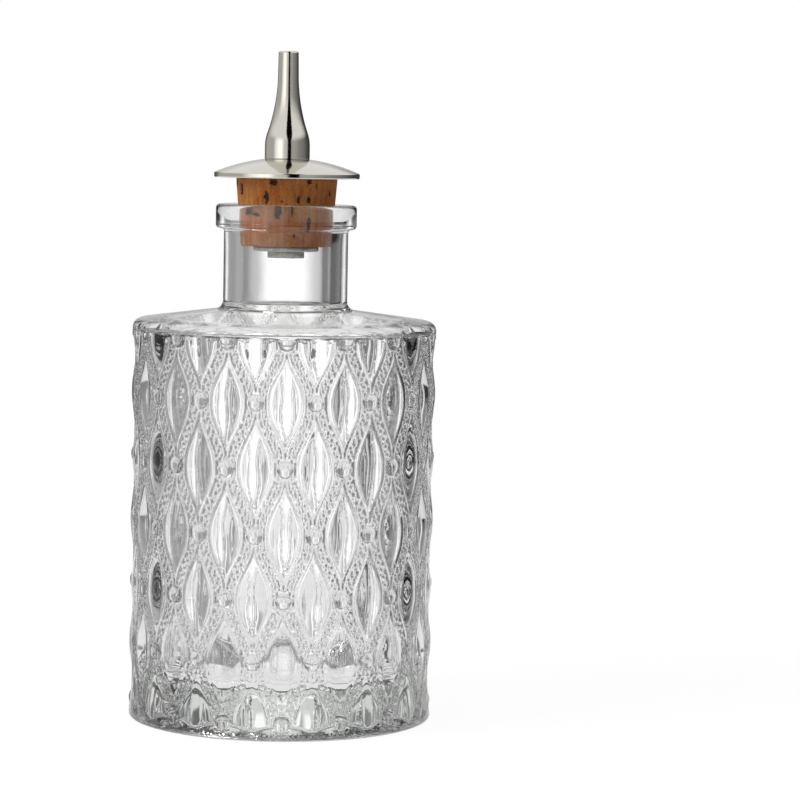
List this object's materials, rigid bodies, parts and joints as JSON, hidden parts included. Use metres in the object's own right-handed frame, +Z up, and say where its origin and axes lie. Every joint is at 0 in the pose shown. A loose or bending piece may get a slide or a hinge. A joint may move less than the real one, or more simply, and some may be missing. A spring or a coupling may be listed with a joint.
{
  "type": "bitters dasher bottle",
  "caption": "Straight-sided pressed glass bottle with a raised lattice of pearls and leaves, closed by a tapered cork that carries a slim metal spout for dashing out liquid.",
  "frame": {"origin": "on the bottle's axis, at the level that its foot stands on", "axes": "+Z up the bottle's axis to the spout's tip; -Y is the side that the picture shows"},
  "size_m": [0.066, 0.066, 0.145],
  "materials": {
    "clear_glass": "clear soda-lime glass, pressed, glossy",
    "cork": "natural cork, matt",
    "polished_metal": "polished",
    "plain_steel": "plain turned steel"
  },
  "bodies": {
    "bottle": {"glass_bottle": "clear_glass"},
    "cork": {"cork_stopper": "cork"},
    "dasher": {"domed_cap": "polished_metal", "dasher_spout": "polished_metal", "hollow_stem": "plain_steel", "retaining_washer": "plain_steel", "retaining_nut": "plain_steel"}
  },
  "joints": [
    {"name": "stopper_lift", "type": "slide", "parent": "bottle", "child": "cork", "axis": [0, 0, 1], "range_m": [0, 0.04]},
    {"name": "dasher_turn", "type": "hinge", "parent": "cork", "child": "dasher", "pos_m": [0, 0, 0.1176], "axis": [0, 0, 1], "continuous": true}
  ]
}
